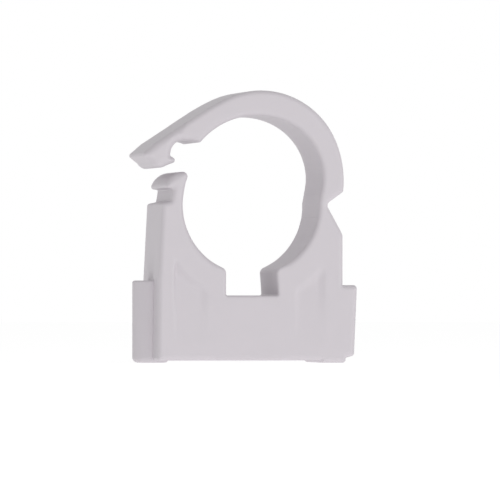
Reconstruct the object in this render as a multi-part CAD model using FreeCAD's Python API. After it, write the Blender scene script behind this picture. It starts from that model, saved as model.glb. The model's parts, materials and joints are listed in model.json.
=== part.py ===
import FreeCAD, Part
import math
import os
from FreeCAD import Vector

# Hinged plastic pipe clip for a 22 mm pipe: one moulding that bends at a thin web.
# Millimetres. X is across the pipe, Y along it, Z away from the wall.
# The origin is on the wall face, under the middle of the pipe. The arm stands a little open.

# Main sizes
depth = 16.0                 # length of the clip along the pipe
pipe_diameter = 22.0
seat_play = 0.25             # gap between pipe and saddle, on the radius
seat_height = 25.75          # pipe axis above the wall
rim_chamfer = 0.35           # front and back edges

# Screw slot and screw hole
slot_width = 8.3             # at its mouth
slot_floor = 11.0
slot_lean = 0.3              # the right wall leans back this much at the floor
slot_mouth_rounding = 1.0
slot_floor_rounding = 0.3
screw_hole_radius = 2.3      # clears a 4 mm screw
screw_hole_chamfer = 0.4

# Flanks, feet and underside
left_foot = -15.5
left_rib_top = -15.35
right_wall = 15.25
foot_height = 0.4            # the underside clears the wall between the feet
foot_inner = 11.75
foot_outer = 15.75
foot_slope = 0.15

# Half-round rib on the left flank, which locates the next clip
rib_radius = 3.05
rib_axis = -15.3
rib_top = 13.45
rib_lead_in = 0.7            # chamfer of its lower end
rib_top_chamfer = 0.3

# Flange on the right flank, grooved for the next clip's rib
flange_reach = 17.65
flange_taper = 0.5
flange_top = 12.7
flange_foot = 0.8
flange_lead_in = 0.4
groove_play = 0.1
groove_top = 13.8

# Catch, as points (x, z) of the side view
shoulder = (-14.7, 26.05)
neck_foot = (-13.25, 26.35)
neck_top = (-12.92, 28.35)
lip_tip = (-14.25, 28.5)
catch_brow = (-13.3, 30.25)
catch_crown = (-11.3, 31.15)
post_top = (-10.45, 30.3)
post_inside = (-11.02, 28.1)

# Arm's inner side, from the hinge web to the pocket that clears the catch
web_inside = 26.2
arm_root = (11.72, 28.8)
arm_upright = (11.82, 31.0)
arm_inner_flank = (7.5, 38.4)
arm_inner_top = (3.0, 40.2)
pocket_cusp = (-8.45, 35.8)
pocket_roof = (-10.3, 36.3)
pocket_corner = (-12.3, 35.9)
pocket_side = (-13.05, 34.9)
nub_root = (-13.25, 33.75)

# Hooked nose
nub_top = (-12.7, 33.4)
nub_under = (-12.8, 32.6)
nose_bottom = (-14.3, 31.98)
nose_chin = (-16.4, 32.65)
nose_tip = (-18.05, 33.95)

# Arm's outer side, from the nose to the notch outside the hinge web
ramp_break = (-15.8, 35.87)
ramp_top = (-8.12, 40.87)
arm_back_start = (-3.86, 43.22)
arm_back_right = (14.1, 36.3)
arm_back_foot = (15.35, 27.95)
notch_root = (12.53, 25.9)
notch_mouth = (15.0, 21.4)
right_wall_top = 20.8

# Hinge: the web bends within this distance of its axis
hinge_x = 12.0
hinge_z = 25.65
hinge_zone = 2.0

# Shallow field in the front and back faces, left and right of the slot
field_depth = 0.5            # at its top; it runs out at its foot
field_foot = 3.3
seat_rim = 3.75              # raised rim round the saddle
slot_rim = 2.75              # raised rim beside the slot
field_left = -12.9
field_right = 12.4
field_corner = 1.1

# Roundings of the side view's corners
slot_corner = 1.0
catch_rounding = 0.5
shoulder_rounding = 0.5
inside_rounding = 0.3
notch_mouth_rounding = 1.5
notch_root_rounding = 0.75
outer_corner = 0.6

# Derived sizes
half_depth = depth / 2
seat_radius = pipe_diameter / 2 + seat_play
slot_half = slot_width / 2
slot_floor_right = slot_half + slot_lean
seat_low = seat_radius * math.sqrt(0.5)
slot_mouth = seat_height - math.sqrt(seat_radius ** 2 - slot_half ** 2)
flange_edge = flange_reach - flange_taper
groove_radius = rib_radius + groove_play
groove_axis = flange_reach - flange_taper / 2
field_reach = seat_radius + seat_rim
beyond = 2.0                 # how far a cutting shape runs past what it cuts
near = 0.05


def at(point):
    """A point of the side view, in the clip's middle plane."""
    return Vector(point[0], 0, point[1])


class Outline:
    """A closed side view, drawn edge after edge."""

    def __init__(self, start):
        self.start = at(start)
        self.here = self.start
        self.heading = None
        self.edges = []

    def line(self, *points):
        for point in points:
            end = at(point)
            self.edges.append(Part.LineSegment(self.here, end).toShape())
            self.heading = (end - self.here).normalize()
            self.here = end

    def arc(self, middle, end):
        """An arc through a middle point."""
        curve = Part.Arc(self.here, at(middle), at(end))
        self.edges.append(curve.toShape())
        self.heading = curve.tangent(curve.LastParameter)[0]
        self.here = at(end)

    def smooth_arc(self, *ends):
        """Arcs that each leave along the last edge's direction."""
        for point in ends:
            chord = at(point) - self.here
            across = Vector(-self.heading.z, 0, self.heading.x)
            turn = math.atan2(chord.dot(across), chord.dot(self.heading))
            side = Vector(chord.z, 0, -chord.x).normalize()
            rise = chord.Length / 2 * math.tan(turn / 2)
            middle = self.here + chord * 0.5 + side * rise
            self.arc((middle.x, middle.z), point)

    def face(self):
        self.edges.append(Part.LineSegment(self.here, self.start).toShape())
        return Part.Face(Part.Wire(self.edges))


def draw_catch(outline):
    """Post on the left, with the lip that the nose snaps under."""
    outline.line(shoulder, neck_foot, neck_top, lip_tip)
    outline.arc(catch_brow, catch_crown)
    outline.smooth_arc(post_top)
    outline.arc(post_inside, (-seat_radius, seat_height))


def draw_saddle(outline):
    """Lower half of the pipe's seat, cut by the screw slot."""
    outline.arc((-seat_low, seat_height - seat_low), (-slot_half, slot_mouth))
    outline.line((-slot_half, slot_floor), (slot_floor_right, slot_floor))
    outline.line((slot_half, slot_mouth))
    outline.arc((seat_low, seat_height - seat_low), (seat_radius, seat_height))


def draw_arm(outline):
    """Inner side of the arm, hooked nose, ramp and round back."""
    outline.line((seat_radius, web_inside), arm_root)
    outline.smooth_arc(arm_upright, arm_inner_flank, arm_inner_top, pocket_cusp)
    outline.arc(pocket_roof, pocket_corner)
    outline.arc(pocket_side, nub_root)
    outline.line(nub_top)
    outline.smooth_arc(nub_under, nose_bottom, nose_chin)
    outline.line(nose_tip, ramp_break, ramp_top)
    outline.smooth_arc(arm_back_start, arm_back_right, arm_back_foot)


def draw_right_flank(outline):
    """Notch outside the web, upright flank, flange and right foot."""
    outline.line(notch_root, notch_mouth, (right_wall, right_wall_top))
    outline.line((right_wall, flange_top), (flange_reach, flange_top))
    outline.line((flange_edge, flange_foot + flange_lead_in), (foot_outer, flange_foot))
    outline.line((foot_outer, 0), (foot_inner, 0), (foot_inner - foot_slope, foot_height))


def side_view():
    """The whole moulding seen along the pipe."""
    outline = Outline((left_foot, foot_height))
    outline.line((left_rib_top, rib_top))
    draw_catch(outline)
    draw_saddle(outline)
    draw_arm(outline)
    draw_right_flank(outline)
    return outline.face()


def corner_edges(solid, corners):
    """The edges along the pipe that stand on the named corners."""
    found = []
    for edge in solid.Edges:
        if abs(edge.tangentAt(edge.FirstParameter).y) < 1 - near:
            continue
        middle = edge.CenterOfMass
        if any(math.hypot(middle.x - x, middle.z - z) < near for x, z in corners):
            found.append(edge)
    return found


def rounded_bar(length):
    """The side view pushed through a length of the mould, with its corners rounded."""
    solid = side_view().extrude(Vector(0, length, 0))
    roundings = (
        (slot_corner, [(-slot_half, slot_mouth), (slot_half, slot_mouth)]),
        (slot_floor_rounding, [(-slot_half, slot_floor), (slot_floor_right, slot_floor)]),
        (shoulder_rounding, [shoulder]),
        (inside_rounding, [neck_foot, neck_top, pocket_corner, nub_root]),
        (catch_rounding, [lip_tip, pocket_cusp, nose_tip]),
        (outer_corner, [arm_back_foot, (flange_reach, flange_top)]),
        (notch_mouth_rounding, [notch_mouth]),
        (notch_root_rounding, [notch_root]),
        (catch_rounding, [(flange_edge, flange_foot + flange_lead_in)]),
        (catch_rounding, [(foot_outer, 0), (foot_inner, 0), (left_foot, foot_height)]),
    )
    for radius, corners in roundings:
        solid = solid.makeFillet(radius, corner_edges(solid, corners))
    return solid


def inward(edge, place):
    """Where a point of the outline goes when it moves into the plastic by one unit."""
    along = edge.tangentAt(place)
    if edge.Orientation == "Reversed":
        along = along * -1
    return Vector(-along.z, 0, along.x)


def chamfered_end(end_face):
    """The last stretch of the bar: its outline shrinks evenly over the rim's chamfer."""
    wire = end_face.OuterWire
    edges = wire.OrderedEdges
    shrunk = []
    moved = []
    for edge, before in zip(edges, edges[-1:] + edges[:-1]):
        first = edge.firstVertex(True).Point
        start = inward(edge, edge.ParameterRange[edge.Orientation == "Reversed"])
        end = inward(before, before.ParameterRange[before.Orientation != "Reversed"])
        moved.append(first + (start + end) * (rim_chamfer / (1 + start.dot(end))))
    for edge, here, ahead in zip(edges, moved, moved[1:] + moved[:1]):
        if isinstance(edge.Curve, Part.Line):
            shrunk.append(Part.LineSegment(here, ahead).toShape())
            continue
        halfway = sum(edge.ParameterRange) / 2
        middle = edge.valueAt(halfway) + inward(edge, halfway) * rim_chamfer
        shrunk.append(Part.Arc(here, middle, ahead).toShape())
    small = Part.Wire(shrunk)
    small.translate(Vector(0, -rim_chamfer, 0))
    return Part.makeLoft([wire, small], True, True)


def moulded_bar():
    """The side view at full depth, with its front and back edges chamfered."""
    length = depth - 2 * rim_chamfer
    bar = rounded_bar(length)
    bar.translate(Vector(0, -length / 2, 0))
    front = min(bar.Faces, key=lambda face: face.CenterOfMass.y)
    end = chamfered_end(front)
    return bar.fuse([end, end.mirror(Vector(0, 0, 0), Vector(0, 1, 0))])


def upright_cylinder(radius, x, low, high):
    return Part.makeCylinder(radius, high - low, Vector(x, 0, low), Vector(0, 0, 1))


def locating_rib():
    """Half-round rib; its foot is a full disc that stands on the wall."""
    rib = upright_cylinder(rib_radius, rib_axis, 0, rib_top)
    foot = [edge for edge in rib.Edges if edge.BoundBox.ZMax < near]
    rib = rib.makeChamfer(rib_lead_in, foot)
    top = [edge for edge in rib.Edges if edge.BoundBox.ZMin > rib_top - near]
    return rib.makeChamfer(rib_top_chamfer, top)


def rib_groove():
    """Takes the next clip's rib."""
    return upright_cylinder(groove_radius, groove_axis, -beyond, groove_top)


def screw_hole():
    """Round hole from the slot's floor to the wall, with a small chamfer at the floor."""
    hole = upright_cylinder(screw_hole_radius, 0, -beyond, slot_floor + beyond)
    chamfer = Part.makeCone(
        screw_hole_radius,
        screw_hole_radius + 2 * screw_hole_chamfer,
        2 * screw_hole_chamfer,
        Vector(0, 0, slot_floor - screw_hole_chamfer),
        Vector(0, 0, 1),
    )
    return hole.fuse(chamfer)


def field(edge_x, face_sign):
    """One shallow field: bounded by the seat's rim and the slot's rim, deepest at its top."""
    side = math.copysign(1, edge_x)
    inner_x = side * (slot_half + slot_rim)
    top_x = edge_x - side * field_corner
    top = seat_height - math.sqrt(field_reach ** 2 - top_x ** 2)
    inner_top = seat_height - math.sqrt(field_reach ** 2 - inner_x ** 2)
    rim_x = (top_x + inner_x) / 2
    rim = seat_height - math.sqrt(field_reach ** 2 - rim_x ** 2)
    outline = Outline((edge_x, field_foot))
    outline.line((edge_x, top - field_corner))
    outline.smooth_arc((top_x, top))
    outline.arc((rim_x, rim), (inner_x, inner_top))
    outline.line((inner_x, field_foot))
    block = outline.face().extrude(Vector(0, face_sign * beyond, 0))
    block.translate(Vector(0, face_sign * half_depth, 0))
    tilt = math.degrees(math.atan2(field_depth, top - field_foot))
    pivot = Vector(0, face_sign * half_depth, field_foot)
    block.rotate(pivot, Vector(1, 0, 0), face_sign * tilt)
    return block


def moulding():
    """The complete clip in one piece, as it leaves the mould."""
    clip = moulded_bar().fuse(locating_rib())
    cuts = [rib_groove(), screw_hole()]
    for edge_x in (field_left, field_right):
        for face_sign in (-1, 1):
            cuts.append(field(edge_x, face_sign))
    for cut in cuts:
        clip = clip.cut(cut)
    return clip.removeSplitter()


def split_at_hinge(clip):
    """Body, arm and the web between them, which bends within the hinge's zone."""
    axis_start = Vector(hinge_x, -depth, hinge_z)
    zone = Part.makeCylinder(hinge_zone, 2 * depth, axis_start, Vector(0, 1, 0))
    web = clip.common(zone)
    rigid = sorted(clip.cut(zone).Solids, key=lambda solid: solid.CenterOfMass.z)
    return {"clip_base": rigid[0], "hinge_web": web.Solids[0], "closing_arm": rigid[-1]}


def main():
    os.makedirs("parts", exist_ok=True)
    nodes = split_at_hinge(moulding())
    for name, shape in nodes.items():
        shape.exportStep("parts/" + name + ".step")
        box = shape.BoundBox
        print(f"{name:12s} {shape.Volume:8.1f} mm3, valid {shape.isValid()}, solids {len(shape.Solids)}")
        print(f"   x {box.XMin:.2f} to {box.XMax:.2f}, z {box.ZMin:.2f} to {box.ZMax:.2f}")


main()
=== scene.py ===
# %% [markdown]
# # A hinged pipe clip in white polypropylene
# The clip is one moulding: a base with a round seat, an arm that closes over the pipe, and a thin
# web between them that bends. This lesson gives each of the three a smooth skin with soft rims,
# then makes the plastic, the studio and the camera.

# %% Load the frame
import json
import math
import bmesh
import bpy
import numpy as np
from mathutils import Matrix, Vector, geometry


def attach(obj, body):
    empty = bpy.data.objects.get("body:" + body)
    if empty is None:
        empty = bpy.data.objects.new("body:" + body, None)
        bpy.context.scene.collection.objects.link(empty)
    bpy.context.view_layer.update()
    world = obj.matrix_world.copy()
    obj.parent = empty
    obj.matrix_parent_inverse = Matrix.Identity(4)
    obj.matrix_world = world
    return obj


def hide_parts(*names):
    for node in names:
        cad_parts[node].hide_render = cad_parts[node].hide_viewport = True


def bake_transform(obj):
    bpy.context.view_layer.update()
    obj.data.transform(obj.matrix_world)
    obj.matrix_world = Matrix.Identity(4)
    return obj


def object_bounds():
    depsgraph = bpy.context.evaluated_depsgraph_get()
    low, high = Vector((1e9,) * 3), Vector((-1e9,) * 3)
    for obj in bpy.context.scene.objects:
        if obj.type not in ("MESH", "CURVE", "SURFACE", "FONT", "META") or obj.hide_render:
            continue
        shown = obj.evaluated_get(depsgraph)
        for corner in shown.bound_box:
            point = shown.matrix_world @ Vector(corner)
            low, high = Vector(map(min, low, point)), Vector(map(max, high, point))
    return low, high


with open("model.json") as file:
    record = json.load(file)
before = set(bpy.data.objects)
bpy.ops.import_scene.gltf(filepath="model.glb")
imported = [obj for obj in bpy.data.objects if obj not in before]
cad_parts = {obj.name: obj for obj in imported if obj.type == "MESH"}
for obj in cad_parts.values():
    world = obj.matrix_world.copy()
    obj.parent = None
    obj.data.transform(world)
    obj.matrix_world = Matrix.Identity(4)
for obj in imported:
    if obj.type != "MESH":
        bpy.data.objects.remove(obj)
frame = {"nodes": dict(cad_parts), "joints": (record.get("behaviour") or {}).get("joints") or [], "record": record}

cad_low, cad_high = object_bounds()
mounts = {mount["name"]: mount for mount in frame["record"]["mounts"]}
hinge = frame["joints"][0]
print("clip measures", [round(size * 1000, 2) for size in cad_high - cad_low], "mm")

# %% [markdown]
# ## The side view
# Seen along the pipe, the whole clip is one flat outline pushed through the depth of the mould.
# It could be drawn again here, but the solids already hold it. A plane that cuts each solid
# beside the rib gives the same outline as a loop of points, so the skin can't drift from the part.

# %% Cut a solid's side view
half_depth = cad_high.y
section_y = 0.75 * half_depth
weld = 1e-7


def side_view(node):
    """The loop of points (x, z) where the section plane cuts a solid."""
    solid = bmesh.new()
    solid.from_mesh(frame["nodes"][node].data)
    bmesh.ops.remove_doubles(solid, verts=solid.verts, dist=weld)
    cut = bmesh.ops.bisect_plane(
        solid,
        geom=solid.verts[:] + solid.edges[:] + solid.faces[:],
        plane_co=(0, section_y, 0),
        plane_no=(0, 1, 0),
    )["geom_cut"]
    edges = {part for part in cut if isinstance(part, bmesh.types.BMEdge)}
    start = min((edge.verts[0] for edge in edges), key=lambda vert: (vert.co.z, vert.co.x))
    loop, came_by, here = [start], None, start
    while True:
        came_by = next(edge for edge in here.link_edges if edge in edges and edge is not came_by)
        here = came_by.other_vert(here)
        if here is start:
            break
        loop.append(here)
    points = np.array([(vert.co.x, vert.co.z) for vert in loop])
    solid.free()
    return points if twice_area(points) > 0 else points[::-1]


def twice_area(points):
    """Positive for a loop that runs anticlockwise, seen from the front."""
    ahead = np.roll(points, -1, axis=0)
    return float(np.sum(points[:, 0] * ahead[:, 1] - ahead[:, 0] * points[:, 1]))


loops = {node: side_view(node) for node in ("clip_base", "hinge_web", "closing_arm")}
for node, loop in loops.items():
    print(node, "has", len(loop), "points round its side view")

# %% [markdown]
# ## Where the web begins
# On the real clip nothing marks the web's ends: the plastic is one. Here the skin is split at the
# same short distance from the hinge's axis as the solids, so that the middle piece can bend. Both
# sides of a split must use the same points, or light would leak in, so they're placed by a formula.

# %% Share the points along each split
web_reach = 0.002
split_tolerance = 0.00003
split_steps = 16
hinge_x, hinge_z = hinge["pos_m"][0], hinge["pos_m"][2]


def on_split(points):
    """True where a point lies on the circle that bounds the web."""
    reach = np.hypot(points[:, 0] - hinge_x, points[:, 1] - hinge_z)
    return np.abs(reach - web_reach) < split_tolerance


def split_arc(first, last):
    """Points from first to last round the hinge's axis, closer together near both ends."""
    turn_first = math.atan2(first[1] - hinge_z, first[0] - hinge_x)
    turn_last = math.atan2(last[1] - hinge_z, last[0] - hinge_x)
    swing = (turn_last - turn_first + math.pi) % (2 * math.pi) - math.pi
    share = (1 - np.cos(np.linspace(0, math.pi, split_steps + 1)[1:-1])) / 2
    turns = turn_first + swing * share
    return np.stack([hinge_x + web_reach * np.cos(turns), hinge_z + web_reach * np.sin(turns)], 1)


# %% Space a loop's points evenly
longest_step = 0.0003
shortest_step = 0.00004


def spaced(loop):
    """The loop with crowded points left out, long sides divided and splits drawn by the formula.
    Also says which points stand on a split."""
    flags = on_split(loop)
    runs = int(np.argmin(flags))
    loop, flags = np.roll(loop, -runs, axis=0), np.roll(flags, -runs)
    points, marks = [], []
    index = 0
    while index < len(loop):
        here = loop[index]
        ahead = (index + 1) % len(loop)
        if flags[index] and flags[ahead]:
            end = index
            while flags[(end + 1) % len(loop)]:
                end += 1
            points += [here, *split_arc(here, loop[end])]
            marks += [True] * split_steps
            index = end
            here, ahead = loop[end], (end + 1) % len(loop)
        if not points or np.hypot(*(here - points[-1])) > shortest_step:
            points.append(here)
            marks.append(bool(flags[index]))
        side = loop[ahead] - here
        pieces = math.ceil(float(np.hypot(*side)) / longest_step)
        for step in range(1, pieces):
            points.append(here + side * step / pieces)
            marks.append(False)
        index += 1
    return np.array(points), np.array(marks)


outlines = {node: spaced(loop) for node, loop in loops.items()}
for node, (points, marks) in outlines.items():
    print(node, "is drawn with", len(points), "points,", int(marks.sum()), "of them on a split")

# %% [markdown]
# ## The rim
# The mould leaves every front and back edge with a soft round. A bevel on so many small corners
# would fold over itself. Instead each point of the face asks how far the outline is: closer than
# the rim's radius, it drops back along a quarter circle. Narrow places just get a lower crest.

# %% Measure the distance to the outline
rim_radius = 0.00085
slot_rim_radius = 0.0005
catch_rim_radius = 0.0013
catch_foot = 0.028
seat_radius = mounts["pipe_seat"]["dims"]["r_mm"] / 1000
slot_high = Vector(frame["record"]["physics"]["openings"][0]["box_m"][1])
points_at_once = 500


def skin_sides():
    """Start and end of every side of the outline, without the splits."""
    starts, ends = [], []
    for points, marks in outlines.values():
        ahead, ahead_marks = np.roll(points, -1, axis=0), np.roll(marks, -1)
        keep = ~(marks & ahead_marks)
        starts.append(points[keep])
        ends.append(ahead[keep])
    return np.concatenate(starts), np.concatenate(ends)


side_starts, side_ends = skin_sides()
side_runs = side_ends - side_starts
side_squares = np.sum(side_runs ** 2, axis=1)


def outline_distance(points):
    """Distance from each point (x, z) to the nearest side of the clip's outline."""
    nearest = np.empty(len(points))
    for first in range(0, len(points), points_at_once):
        last = first + points_at_once
        block = points[first:last, None, :] - side_starts[None]
        along = np.clip(np.sum(block * side_runs, axis=2) / side_squares, 0, 1)
        gaps = block - along[:, :, None] * side_runs
        nearest[first:last] = np.sqrt(np.min(np.sum(gaps ** 2, axis=2), axis=1))
    return nearest


def ease(value):
    """Smooth step from 0 to 1."""
    value = np.clip(value, 0, 1)
    return value * value * (3 - 2 * value)


def rim_at(points):
    """Rim radius at each point: tighter round the screw slot, softer on the catch and the nose."""
    beside = np.maximum(np.abs(points[:, 0]) - slot_high.x, points[:, 1] - slot_high.z)
    near_slot = 1 - ease((beside - rim_radius) / (2 * rim_radius))
    above_foot = ease((points[:, 1] - catch_foot) / catch_rim_radius)
    near_catch = above_foot * ease((-points[:, 0] - seat_radius) / catch_rim_radius + 0.5)
    radius = rim_radius + (slot_rim_radius - rim_radius) * near_slot
    return radius + (catch_rim_radius - rim_radius) * near_catch


def rim_drop(points):
    """How far the face has dropped back from its plane."""
    radius = rim_at(points)
    short = np.clip(radius - outline_distance(points), 0, None)
    return radius - np.sqrt(np.clip(radius ** 2 - short ** 2, 0, None))


print("outline has", len(side_starts), "sides, rim", rim_radius * 1000, "mm")

# %% [markdown]
# ## The shallow fields
# Left and right of the slot the face is sunk a little, so that the wall behind it cools evenly.
# Each field is deepest under the seat and runs out towards the foot. The left field's outer wall
# is crisp, the other walls are soft slopes. Four cutters could sink them, but soft slopes are easier
# as a product of smooth steps, one for each side, which gives the depth at any point.

# %% Work out the depth of the fields
field_depth = 0.0005
field_foot = 0.0033
seat_rim = 0.00375
field_crown = seat_radius + seat_rim
crown_slope = 0.0016
deepest_rise = 1.2
seat_z = mounts["pipe_seat"]["pos_m"][2]
fields = (
    {"outer": -0.0129, "inner": -0.0069, "outer_slope": 0.0005, "inner_slope": 0.0016},
    {"outer": 0.0126, "inner": 0.0069, "outer_slope": 0.0016, "inner_slope": 0.0012},
)


def field_sink(points):
    """How deep the face is sunk at each point (x, z)."""
    x, z = points[:, 0], points[:, 1]
    sink = np.zeros(len(points))
    below_crown = ease((np.hypot(x, z - seat_z) - field_crown) / crown_slope) * (z < seat_z)
    for field in fields:
        side = math.copysign(1, field["outer"])
        from_outer = ease((abs(field["outer"]) - x * side) / field["outer_slope"])
        from_inner = ease((x * side - abs(field["inner"])) / field["inner_slope"])
        top = seat_z - math.sqrt(field_crown ** 2 - field["inner"] ** 2)
        rise = np.clip((z - field_foot) / (top - field_foot), 0, deepest_rise)
        sink += field_depth * rise * from_outer * from_inner * below_crown
    return sink


print(len(fields), "fields a side, up to", round(field_depth * deepest_rise * 1000, 2), "mm deep")

# %% [markdown]
# ## A skin over one solid
# The face is a net of triangles: the outline, a few rings just inside it where the rim curves,
# and a loose grid elsewhere. A constrained Delaunay triangulation joins them without crossing the
# outline. The back face is its mirror image, and strips along the pipe join the two.

# %% Choose the points of a face
rim_rings = 7
ring_fit = 0.98
grid_step = 0.0005
field_step = 0.00025
grid_clearance = 1.1 * rim_radius


def inward(points):
    """Direction into the plastic at each point of an anticlockwise loop."""
    along = np.roll(points, -1, axis=0) - np.roll(points, 1, axis=0)
    along /= np.linalg.norm(along, axis=1)[:, None]
    return np.stack([-along[:, 1], along[:, 0]], 1)


def ring_points(points, marks):
    """Rings that follow the outline where the rim curves, without those that would cross."""
    rings = []
    for ring in range(1, rim_rings + 1):
        reach = rim_at(points) * (1 - math.cos(ring / rim_rings * math.pi / 2))
        moved = points + inward(points) * reach[:, None]
        fits = (outline_distance(moved) > ring_fit * reach) & ~marks
        rings.append(moved[fits])
    return np.concatenate(rings)


def even_grid(low, high, step):
    """Points (x, z) at even steps between two corners."""
    across, up = np.arange(low[0], high[0], step), np.arange(low[1], high[1], step)
    return np.stack(np.meshgrid(across, up), -1).reshape(-1, 2)


def grid_points(low, high):
    """A grid that is finer where the face is sunk."""
    coarse, fine = even_grid(low, high, grid_step), even_grid(low, high, field_step)
    coarse = coarse[field_sink(coarse) == 0]
    fine = fine[field_sink(fine) > 0]
    grid = np.concatenate([coarse, fine])
    return grid[outline_distance(grid) > grid_clearance]


def thinned(points, kept, step):
    """Points further than step from every kept point and from each other."""
    taken = {(round(x / step), round(z / step)) for x, z in kept}
    free = []
    for x, z in points:
        cell = (round(x / step), round(z / step))
        if cell not in taken:
            taken.add(cell)
            free.append((x, z))
    return np.array(free)


print("the rim curves over", rim_rings, "rings")

# %% Join them into a closed skin
strip_rows = 5
millimetres = 1000
same_place = 0.00001
inside_only = 1


def face_net(points, marks):
    """Points and triangles of the face, and the places of the outline's points among them.
    The triangulation works in millimetres, where its tolerance suits."""
    grid = grid_points(points.min(axis=0), points.max(axis=0))
    inside = thinned(np.concatenate([ring_points(points, marks), grid]), points, shortest_step)
    every = np.concatenate([points, inside])
    coords = [Vector(point) for point in every * millimetres]
    outline = list(range(len(points)))
    found, _, triangles, sources, _, _ = geometry.delaunay_2d_cdt(
        coords, [], [outline], inside_only, same_place)
    order = {source: place for place, listed in enumerate(sources) for source in listed}
    flat = np.array([(point.x, point.y) for point in found]) / millimetres
    return flat, triangles, [order[place] for place in outline]


def skin(name, node):
    """A closed mesh over one solid, with soft rims and sunk fields."""
    points, marks = outlines[node]
    flat, triangles, rim = face_net(points, marks)
    face_y = -half_depth + rim_drop(flat) + field_sink(flat)
    mesh = bmesh.new()
    front = [mesh.verts.new((x, y, z)) for (x, z), y in zip(flat, face_y)]
    back = [mesh.verts.new((x, -y, z)) for (x, z), y in zip(flat, face_y)]
    for triangle in triangles:
        mesh.faces.new([front[place] for place in triangle])
        mesh.faces.new([back[place] for place in reversed(triangle)])
    rows = [[front[place] for place in rim]]
    for row in range(1, strip_rows):
        share = row / strip_rows
        rows.append([mesh.verts.new(front[place].co.lerp(back[place].co, share)) for place in rim])
    rows.append([back[place] for place in rim])
    for near, far in zip(rows, rows[1:]):
        for place in range(len(rim)):
            ahead = (place + 1) % len(rim)
            mesh.faces.new((near[place], far[place], far[ahead], near[ahead]))
    bmesh.ops.recalc_face_normals(mesh, faces=mesh.faces)
    data = bpy.data.meshes.new(name)
    mesh.to_mesh(data)
    mesh.free()
    piece = bpy.data.objects.new(name, data)
    bpy.context.scene.collection.objects.link(piece)
    print(name, "has", len(data.polygons), "faces")
    return piece


base_skin = skin("base_skin", "clip_base")
arm_skin = skin("arm_skin", "closing_arm")
web_skin = skin("web_skin", "hinge_web")

# %% [markdown]
# ## Rib, groove and screw hole
# These three run upwards, across the section that made the skin. Each is a turned form: the rib is
# added to the skin, the groove and the hole are taken out of it. The exact Boolean solver keeps
# clean edges on such dense meshes.

# %% Turn a form about an upright axis
round_sides = 96
rounding_steps = 6


def turned(name, axis_x, profile):
    """A closed turned form from a profile of (radius, height), bottom to top."""
    mesh = bmesh.new()
    rings = []
    for radius, height in profile:
        ring = []
        for side in range(round_sides):
            angle = 2 * math.pi * side / round_sides
            across, along = radius * math.cos(angle), radius * math.sin(angle)
            ring.append(mesh.verts.new((axis_x + across, along, height)))
        rings.append(ring)
    for lower, upper in zip(rings, rings[1:]):
        for place in range(round_sides):
            ahead = (place + 1) % round_sides
            mesh.faces.new((lower[place], lower[ahead], upper[ahead], upper[place]))
    mesh.faces.new(list(reversed(rings[0])))
    mesh.faces.new(rings[-1])
    data = bpy.data.meshes.new(name)
    mesh.to_mesh(data)
    mesh.free()
    form = bpy.data.objects.new(name, data)
    bpy.context.scene.collection.objects.link(form)
    return form


def quarter_circle(radius, middle, rounding, first_angle):
    """The rounded end of a turned form's profile, bottom to top. Its centre lies at height middle."""
    points = []
    for step in range(rounding_steps + 1):
        angle = first_angle + math.pi / 2 * step / rounding_steps
        points.append((radius - rounding * (1 - math.cos(angle)), middle + rounding * math.sin(angle)))
    return points


print("round forms have", round_sides, "sides")

# %% Add the rib, cut the groove and the hole
rib_foot_rounding = 0.0009
rib_top_rounding = 0.0004
hole_chamfer = 0.0004
past = 0.001


def combined(piece, form, operation):
    """Applies one Boolean to a piece and removes the form."""
    cut = piece.modifiers.new("cut", "BOOLEAN")
    cut.operation = operation
    cut.solver = "EXACT"
    cut.object = form
    evaluated = piece.evaluated_get(bpy.context.evaluated_depsgraph_get())
    result = bpy.data.meshes.new_from_object(evaluated)
    piece.modifiers.clear()
    piece.data = result
    bpy.data.objects.remove(form)


rib, groove, screw_hole = (mounts[name] for name in ("side_rib", "side_groove", "screw_hole"))
rib_radius = rib["dims"]["r_mm"] / 1000
rib_top = rib["dims"]["length_mm"] / 1000
rib_profile = [
    *quarter_circle(rib_radius, cad_low.z + rib_foot_rounding, rib_foot_rounding, -math.pi / 2),
    *quarter_circle(rib_radius, rib_top - rib_top_rounding, rib_top_rounding, 0),
]
combined(base_skin, turned("rib_form", rib["pos_m"][0], rib_profile), "UNION")

groove_radius = groove["dims"]["r_mm"] / 1000
groove_profile = [(groove_radius, cad_low.z - past), (groove_radius, rib_top + past)]
combined(base_skin, turned("groove_form", groove["pos_m"][0], groove_profile), "DIFFERENCE")

hole_radius = screw_hole["dims"]["r_mm"] / 1000
slot_floor = screw_hole["pos_m"][2] + screw_hole["dims"]["length_mm"] / 1000 + hole_chamfer
hole_profile = [
    (hole_radius, cad_low.z - past),
    (hole_radius, slot_floor - hole_chamfer),
    (hole_radius + hole_chamfer + past, slot_floor + past),
]
combined(base_skin, turned("hole_form", screw_hole["pos_m"][0], hole_profile), "DIFFERENCE")
print("base_skin has", len(base_skin.data.polygons), "faces with rib, groove and hole")

# %% [markdown]
# ## Shading and joints
# Smooth shading hides the facets, and edges sharper than the rim's own steps stay crisp. The base
# and the arm hang on their bodies; the web's skin keeps its place and hangs on no body.

# %% Shade the skins and hang the base and the arm on their bodies
crisp_angle = math.radians(32)
large_face_weight = 100
for piece in (base_skin, arm_skin, web_skin):
    piece.data.shade_smooth()
    piece.data.set_sharp_from_angle(angle=crisp_angle)
    weighting = piece.modifiers.new("weighted normals", "WEIGHTED_NORMAL")
    weighting.keep_sharp = True
    weighting.weight = large_face_weight

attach(base_skin, "base")
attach(arm_skin, "arm")
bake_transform(web_skin)
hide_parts("clip_base")
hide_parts("closing_arm")
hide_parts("hinge_web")

# %% [markdown]
# ## White polypropylene
# The plastic is white with a breath of lilac. Close up it isn't flat: the mould's walls were
# spark-eroded, which leaves a fine matt grain, and the melt leaves faint clouds and a slight
# waviness as it cools. One group gives all three, and each plastic sets its own amounts. The thin
# web gets a plastic of its own, made a touch lighter and glossier.

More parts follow.
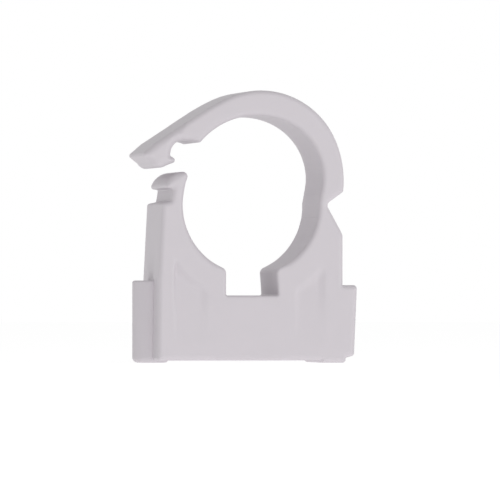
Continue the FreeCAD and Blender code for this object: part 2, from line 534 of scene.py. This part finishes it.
# %% Make the moulded grain group
clouds_per_metre = 260
waves_per_metre = 420


def link(tree, source, target):
    """Joins an output to an input."""
    tree.links.new(source, target)


def noise(group, place, detail, distortion=0):
    """Noise that stays fixed to the piece."""
    texture = group.nodes.new("ShaderNodeTexNoise")
    texture.inputs["Detail"].default_value = detail
    texture.inputs["Distortion"].default_value = distortion
    link(group, place.outputs["Object"], texture.inputs["Vector"])
    return texture


def moulded_grain():
    """Node group: colour, roughness and height of spark-eroded plastic."""
    group = bpy.data.node_groups.new("moulded grain", "ShaderNodeTree")
    sockets = group.interface
    for name in ("Plastic", "Cloud"):
        sockets.new_socket(name, in_out="INPUT", socket_type="NodeSocketColor")
    for name in ("Grain Size", "Grain Share", "Matt", "Shine"):
        sockets.new_socket(name, in_out="INPUT", socket_type="NodeSocketFloat")
    sockets.new_socket("Colour", in_out="OUTPUT", socket_type="NodeSocketColor")
    sockets.new_socket("Roughness", in_out="OUTPUT", socket_type="NodeSocketFloat")
    sockets.new_socket("Height", in_out="OUTPUT", socket_type="NodeSocketFloat")
    nodes = group.nodes
    inputs = nodes.new("NodeGroupInput")
    outputs = nodes.new("NodeGroupOutput")
    place = nodes.new("ShaderNodeTexCoord")

    frequency = nodes.new("ShaderNodeMath")
    frequency.operation = "DIVIDE"
    frequency.inputs[0].default_value = 1
    link(group, inputs.outputs["Grain Size"], frequency.inputs[1])
    grain = noise(group, place, detail=3)
    link(group, frequency.outputs[0], grain.inputs["Scale"])
    cloud = noise(group, place, detail=4, distortion=0.6)
    cloud.inputs["Scale"].default_value = clouds_per_metre
    wave = noise(group, place, detail=1)
    wave.inputs["Scale"].default_value = waves_per_metre

    tint = nodes.new("ShaderNodeMix")
    tint.data_type = "RGBA"
    link(group, cloud.outputs["Fac"], tint.inputs["Factor"])
    link(group, inputs.outputs["Plastic"], tint.inputs["A"])
    link(group, inputs.outputs["Cloud"], tint.inputs["B"])
    link(group, tint.outputs["Result"], outputs.inputs["Colour"])

    gloss = nodes.new("ShaderNodeMapRange")
    link(group, grain.outputs["Fac"], gloss.inputs["Value"])
    link(group, inputs.outputs["Shine"], gloss.inputs["To Min"])
    link(group, inputs.outputs["Matt"], gloss.inputs["To Max"])
    link(group, gloss.outputs["Result"], outputs.inputs["Roughness"])

    relief = nodes.new("ShaderNodeMix")
    link(group, inputs.outputs["Grain Share"], relief.inputs["Factor"])
    link(group, wave.outputs["Fac"], relief.inputs["A"])
    link(group, grain.outputs["Fac"], relief.inputs["B"])
    link(group, relief.outputs["Result"], outputs.inputs["Height"])
    return group


grain_group = moulded_grain()
print("grain group has", len(grain_group.nodes), "nodes")

# %% Make the plastics
plastic_ior = 1.49
plastic_specular = 0.4
grain_depth = 0.00004
grain_strength = 0.6


def plastic(name, amounts):
    """Polypropylene with its own amounts of grain."""
    material = bpy.data.materials.new(name)
    material.use_nodes = True
    tree = material.node_tree
    shader = tree.nodes["Principled BSDF"]
    shader.inputs["IOR"].default_value = plastic_ior
    shader.inputs["Specular IOR Level"].default_value = plastic_specular
    grain = tree.nodes.new("ShaderNodeGroup")
    grain.node_tree = grain_group
    for socket, value in amounts.items():
        grain.inputs[socket].default_value = value
    bump = tree.nodes.new("ShaderNodeBump")
    bump.inputs["Distance"].default_value = grain_depth
    bump.inputs["Strength"].default_value = grain_strength
    link(tree, grain.outputs["Colour"], shader.inputs["Base Color"])
    link(tree, grain.outputs["Roughness"], shader.inputs["Roughness"])
    link(tree, grain.outputs["Height"], bump.inputs["Height"])
    link(tree, bump.outputs["Normal"], shader.inputs["Normal"])
    return material


white_plastic = {
    "Plastic": (0.665, 0.625, 0.660, 1),
    "Cloud": (0.640, 0.605, 0.640, 1),
    "Grain Size": 0.0002,
    "Grain Share": 0.25,
    "Matt": 0.58,
    "Shine": 0.44,
}
flexed_plastic = {
    **white_plastic,
    "Plastic": (0.668, 0.628, 0.662, 1),
    "Matt": 0.56,
    "Shine": 0.42,
}
moulded = plastic("white_polypropylene", white_plastic)
flexed = plastic("flexed_polypropylene", flexed_plastic)
for piece, material in ((base_skin, moulded), (arm_skin, moulded), (web_skin, flexed)):
    piece.data.materials.clear()
    piece.data.materials.append(material)
    print(piece.name, "is made of", material.name)

# %% [markdown]
# ## Floor
# The clip stands before plain white. Brighter lamps could whiten a floor, but they would burn out
# the plastic too. Half of this flat sheet is pale paint, which takes the clip's soft shadow. The
# other half glows, and where the camera looks it glows enough to turn the sheet white. For other
# rays it's a little weaker: it lights the clip from below, as a sheet of white paper would.

# %% Make the floor's white
floor_paint = 0.9
glow_share = 0.5
seen_strength = 1.55
underlight_strength = 1.36


def background_rays(tree):
    """1 for rays from the camera, off gloss or through glass, 0 for those that carry light."""
    path = tree.nodes.new("ShaderNodeLightPath")
    shows = path.outputs["Is Camera Ray"]
    for ray in ("Is Glossy Ray", "Is Transmission Ray"):
        either = tree.nodes.new("ShaderNodeMath")
        either.operation = "MAXIMUM"
        link(tree, shows, either.inputs[0])
        link(tree, path.outputs[ray], either.inputs[1])
        shows = either.outputs[0]
    return shows


def floor_white():
    """Half pale paint, half glow, and brighter where the camera looks."""
    material = bpy.data.materials.new("studio_white")
    material.use_nodes = True
    tree = material.node_tree
    tree.nodes.clear()
    paint = tree.nodes.new("ShaderNodeBsdfDiffuse")
    paint.inputs["Color"].default_value = (floor_paint, floor_paint, floor_paint, 1)
    glow = tree.nodes.new("ShaderNodeEmission")
    strength = tree.nodes.new("ShaderNodeMapRange")
    strength.inputs["To Min"].default_value = underlight_strength
    strength.inputs["To Max"].default_value = seen_strength
    mix = tree.nodes.new("ShaderNodeMixShader")
    mix.inputs["Fac"].default_value = glow_share
    out = tree.nodes.new("ShaderNodeOutputMaterial")
    link(tree, background_rays(tree), strength.inputs["Value"])
    link(tree, strength.outputs["Result"], glow.inputs["Strength"])
    link(tree, paint.outputs["BSDF"], mix.inputs[1])
    link(tree, glow.outputs["Emission"], mix.inputs[2])
    link(tree, mix.outputs["Shader"], out.inputs["Surface"])
    return material


studio_white = floor_white()
print("the floor glows with", seen_strength, "where it is seen,", underlight_strength, "elsewhere")

# %% Lay the floor
floor_half = 1.5
floor_drop = 0.00002


def lay_floor():
    """A large plain sheet just under the clip."""
    half, level = floor_half, cad_low.z - floor_drop
    corners = [(-half, -half, level), (half, -half, level), (half, half, level), (-half, half, level)]
    data = bpy.data.meshes.new("floor")
    data.from_pydata(corners, [], [(0, 1, 2, 3)])
    sheet = bpy.data.objects.new("floor", data)
    bpy.context.scene.collection.objects.link(sheet)
    data.materials.append(studio_white)
    return sheet


lay_floor()
print("floor is", 2 * floor_half, "m wide")

# %% [markdown]
# ## Light
# White plastic shows its form only in soft shades, so the light comes from all round, as in a tent:
# a dim sky, a little stronger overhead, and the floor's glow. Two broad lamps low in front, one a
# little left and one far right, give the front face its level. One strong lamp would be simpler, but
# it would leave the inside of the seat dark.

# %% Light the clip
horizon_strength = 0.38
zenith_strength = 0.52
seen_sky_strength = 1
lamp_size = 0.4


def light_sky():
    """White where the camera looks; for everything else dim, and a little brighter overhead."""
    world = bpy.data.worlds.new("studio")
    bpy.context.scene.world = world
    world.use_nodes = True
    tree = world.node_tree
    sky = tree.nodes["Background"]
    sky.inputs["Color"].default_value = (1, 1, 1, 1)
    direction = tree.nodes.new("ShaderNodeTexCoord")
    parts = tree.nodes.new("ShaderNodeSeparateXYZ")
    height = tree.nodes.new("ShaderNodeMapRange")
    height.interpolation_type = "SMOOTHSTEP"
    height.inputs["To Min"].default_value = horizon_strength
    height.inputs["To Max"].default_value = zenith_strength
    strength = tree.nodes.new("ShaderNodeMapRange")
    strength.inputs["To Max"].default_value = seen_sky_strength
    link(tree, direction.outputs["Generated"], parts.inputs["Vector"])
    link(tree, parts.outputs["Z"], height.inputs["Value"])
    link(tree, background_rays(tree), strength.inputs["Value"])
    link(tree, height.outputs["Result"], strength.inputs["To Min"])
    link(tree, strength.outputs["Result"], sky.inputs["Strength"])


def lamp(name, place, watts):
    """A square soft lamp that faces the clip's middle."""
    light = bpy.data.lights.new(name, "AREA")
    light.size = lamp_size
    light.energy = watts
    holder = bpy.data.objects.new(name, light)
    bpy.context.scene.collection.objects.link(holder)
    holder.location = place
    middle = (cad_low + cad_high) / 2
    holder.rotation_euler = (middle - holder.location).to_track_quat("-Z", "Y").to_euler()
    print(name, "gives", watts, "W")


light_sky()
lamp("front_lamp", place=Vector((-0.14, -0.80, 0.04)), watts=1.67)
lamp("side_lamp", place=Vector((0.62, -0.50, 0.06)), watts=1.68)

# %% [markdown]
# ## The camera
# The lens is long, so the sides of the clip hardly converge. It looks along the pipe from a little
# to the left and about a quarter of the way up the clip, so the left flank shows and the top
# doesn't. Its direction follows from where the clip's origin and the horizon fall in the picture.

# %% Place the camera
picture_width = 500
pixel_at_clip = 0.000164
camera_distance = 1.2
camera_turn = -10.2
eye_height = 0.0119
origin_column = 242.9
horizon_row = 290
nearest_seen = 0.01

camera_data = bpy.data.cameras.new("camera")
camera = bpy.data.objects.new("camera", camera_data)
bpy.context.scene.collection.objects.link(camera)
bpy.context.scene.camera = camera
focal_pixels = camera_distance / pixel_at_clip
camera_data.lens = camera_data.sensor_width * focal_pixels / picture_width
camera_data.clip_start = nearest_seen
turn = math.radians(camera_turn)
camera.location = (camera_distance * math.sin(turn), -camera_distance * math.cos(turn), eye_height)
pan = math.atan((picture_width / 2 - origin_column) / focal_pixels)
tilt = math.atan((horizon_row - picture_width / 2) / focal_pixels)
camera.rotation_euler = (math.pi / 2 + tilt, 0, turn - pan)
bpy.context.scene.view_settings.view_transform = "Standard"
print("lens", round(camera_data.lens, 1), "mm")

# %% Finish
bpy.context.view_layer.update()
